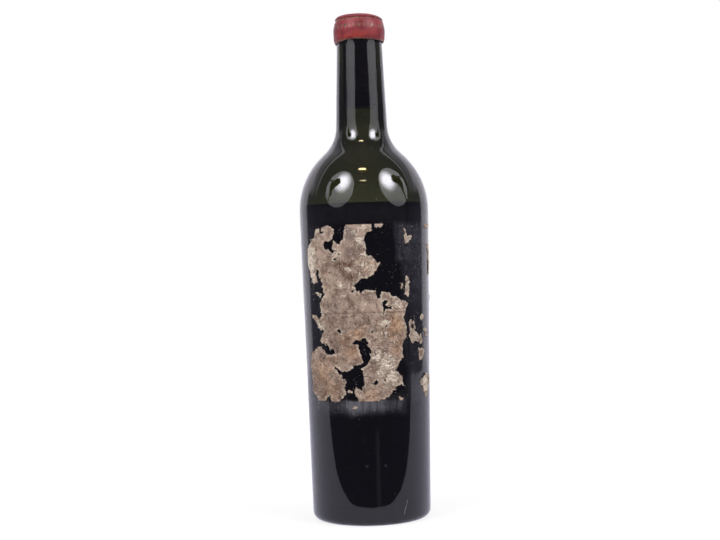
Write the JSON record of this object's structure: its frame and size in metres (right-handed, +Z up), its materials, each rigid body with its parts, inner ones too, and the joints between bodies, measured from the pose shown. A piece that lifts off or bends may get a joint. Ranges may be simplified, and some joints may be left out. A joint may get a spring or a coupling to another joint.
{
  "type": "wine bottle",
  "caption": "Old corked bottle of red wine in dark green glass, with a short red metal capsule and torn remains of a paper label.",
  "frame": {"origin": "on the table, under the middle of the bottle's base", "axes": "+Z up along the bottle to its capsule; -Y out of the front, through the label"},
  "size_m": [0.0795, 0.0795, 0.3071],
  "materials": {
    "dark_green_glass": "smooth, slightly wavy mould-blown glass, nearly black with wine behind it",
    "red_wine": "clear dark red liquid",
    "aged_cork": "matt natural cork, darkened by age and wine",
    "red_painted_foil": "dull red lacquer on soft tin foil, worn to grey at the creases",
    "stained_paper": "matt, fibrous, water-stained paper with its print gone"
  },
  "bodies": {
    "root": {"glass_bottle": "dark_green_glass", "wine": "red_wine", "cork": "aged_cork", "capsule": "red_painted_foil", "label_front": "stained_paper", "scrap_top_edge": "stained_paper", "scrap_upper_fork": "stained_paper", "scrap_sliver": "stained_paper", "scrap_beside_sliver": "stained_paper", "scrap_eyelet": "stained_paper", "scrap_right_upper": "stained_paper", "scrap_right_middle": "stained_paper", "scrap_wedge": "stained_paper", "scrap_right_lower": "stained_paper", "scrap_right_edge": "stained_paper", "scrap_right_top": "stained_paper", "scrap_left": "stained_paper", "scrap_below_foot": "stained_paper", "scrap_in_bay": "stained_paper", "scrap_foot_right": "stained_paper", "scrap_side_upper": "stained_paper", "scrap_side_middle": "stained_paper", "scrap_side_lower": "stained_paper"}
  },
  "joints": []
}
